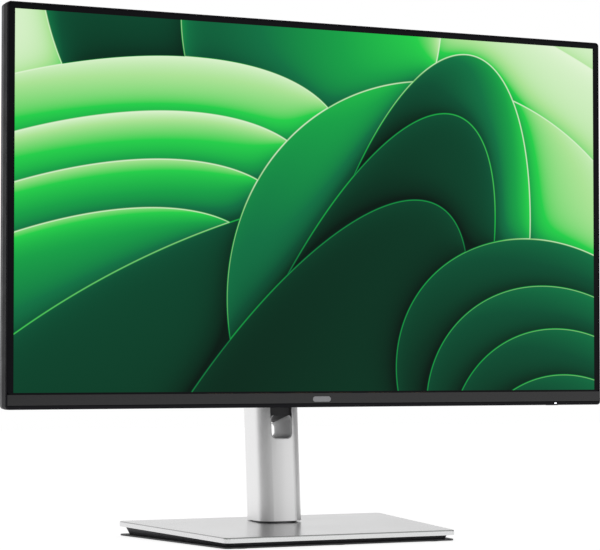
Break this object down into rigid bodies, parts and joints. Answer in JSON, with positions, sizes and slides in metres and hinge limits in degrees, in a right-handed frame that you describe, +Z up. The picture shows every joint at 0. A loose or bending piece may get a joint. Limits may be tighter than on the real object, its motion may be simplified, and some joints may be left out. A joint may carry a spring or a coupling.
{
  "type": "computer monitor",
  "caption": "Flat wide computer monitor with a slim dark frame, on a silver leaning neck and flat trapezoid base that swivels, lifts, tilts and pivots.",
  "frame": {"origin": "centre of the base's footprint, on the desk", "axes": "+Z up, screen faces -Y, +X towards the viewer's right"},
  "size_m": [0.5396, 0.1777, 0.4245],
  "materials": {
    "silver_cover": "bead-blasted satin silver",
    "neck_silver": "satin silver",
    "bezel_black": "fine-textured black",
    "chin_grey": "fine brushed charcoal",
    "cover_dark": "textured dark grey",
    "base_black": "satin black",
    "liner_grey": "satin dark grey",
    "badge_metal": "satin blank plate",
    "lcd_glass": "anti-glare picture surface",
    "film": "white diffusing film",
    "acrylic": "clear acrylic",
    "steel_plate": "galvanised sheet",
    "steel_dark": "machined steel",
    "cast_weight": "black cast weight",
    "rubber": "black rubber",
    "pom": "low-friction plastic",
    "pcb": "circuit board",
    "flex": "amber film",
    "led_white": "white light lens",
    "brass": "threaded inserts",
    "button_dark": "satin dark button"
  },
  "bodies": {
    "base": {"base_cover": "silver_cover", "base_weight": "cast_weight", "base_skirt": "base_black", "base_bottom_plate": "base_black", "rubber_feet": "rubber", "swivel_bush": "pom"},
    "stand": {"swivel_hub": "steel_dark", "swivel_retainer": "steel_dark", "thumb_screw": "steel_dark", "neck_foot": "cast_weight", "neck_column": "neck_silver", "neck_rear_cover": "neck_silver", "neck_top_cap": "neck_silver", "neck_core": "steel_plate", "guide_rails": "steel_dark", "cable_liner": "liner_grey", "cable_guide": "base_black", "lift_spring_strip": "steel_dark", "core_screws": "steel_dark"},
    "screw_ring": {"screw_ring": "steel_dark"},
    "carriage": {"carriage": "steel_dark", "glide_pads": "pom", "lift_spring_roll": "steel_dark"},
    "tilt_hinge": {"tilt_bracket": "steel_plate", "tilt_shaft": "steel_dark", "tilt_springs": "steel_dark", "friction_washers": "brass", "hinge_shroud": "cover_dark"},
    "display": {"mount_plate": "steel_plate", "pivot_shaft": "steel_dark", "pivot_washers": "pom", "pivot_nut": "steel_dark", "front_frame": "bezel_black", "chin_strip": "chin_grey", "badge": "badge_metal", "power_led_lens": "led_white", "lcd_cell": "lcd_glass", "optical_films": "film", "light_guide": "acrylic", "led_bar": "pcb", "panel_tray": "steel_plate", "source_board": "pcb", "flat_cables": "flex", "chassis_plate": "steel_plate", "vesa_bosses": "brass", "main_board": "pcb", "power_board": "pcb", "board_shield": "steel_plate", "video_sockets": "steel_plate", "usb_sockets": "steel_plate", "power_inlet": "base_black", "key_boards": "pcb", "rear_cover": "cover_dark"},
    "power_button": {"power_button": "button_dark"},
    "joystick_gimbal": {"joystick_gimbal": "button_dark"},
    "joystick_stem": {"joystick_stem": "steel_dark"},
    "joystick_cap": {"joystick_cap": "button_dark"},
    "release_button": {"release_button": "button_dark"},
    "release_latch": {"release_latch": "steel_dark"}
  },
  "joints": [
    {"name": "swivel", "type": "hinge", "parent": "base", "child": "stand", "pos_m": [0, 0.04225, 0.0126], "axis": [0, 0, 1], "range_deg": [-45, 45]},
    {"name": "screw_ring_fold", "type": "hinge", "parent": "stand", "child": "screw_ring", "pos_m": [0, 0.04965, 0.0026], "axis": [1, 0, 0], "range_deg": [0, 90]},
    {"name": "height", "type": "slide", "parent": "stand", "child": "carriage", "axis": [0, 0.0767, 0.9971], "range_m": [-0.0787, 0.0717]},
    {"name": "tilt", "type": "hinge", "parent": "carriage", "child": "tilt_hinge", "pos_m": [0, 0.024, 0.26708], "axis": [-1, 0, 0], "range_deg": [-5, 21]},
    {"name": "pivot", "type": "hinge", "parent": "tilt_hinge", "child": "display", "pos_m": [0, 0, 0.26708], "axis": [0, 1, 0], "range_deg": [-4, 28]},
    {"name": "power_button_press", "type": "slide", "parent": "display", "child": "power_button", "axis": [0, 0, 1], "range_m": [0, 0.0006], "stiffness_N_per_m": 900, "springref_m": -0.0004},
    {"name": "joystick_tilt_up_down", "type": "hinge", "parent": "display", "child": "joystick_gimbal", "pos_m": [0.222, -0.036, 0.14], "axis": [1, 0, 0], "range_deg": [-8, 8], "stiffness_Nm_per_rad": 0.02},
    {"name": "joystick_tilt_left_right", "type": "hinge", "parent": "joystick_gimbal", "child": "joystick_stem", "pos_m": [0.222, -0.036, 0.14], "axis": [0, 0, 1], "range_deg": [-8, 8], "stiffness_Nm_per_rad": 0.02},
    {"name": "joystick_press", "type": "slide", "parent": "joystick_stem", "child": "joystick_cap", "axis": [0, -1, 0], "range_m": [0, 0.0005], "stiffness_N_per_m": 1200, "springref_m": -0.0004},
    {"name": "release_button_press", "type": "slide", "parent": "display", "child": "release_button", "axis": [0, -1, 0], "range_m": [0, 0.002], "stiffness_N_per_m": 900, "springref_m": -0.001},
    {"name": "release_latch_slide", "type": "slide", "parent": "display", "child": "release_latch", "axis": [0, 0, -1], "range_m": [0, 0.003]}
  ],
  "couplings": [
    {"joint": "release_latch_slide", "follows": "release_button_press", "ratio": 1.5}
  ]
}
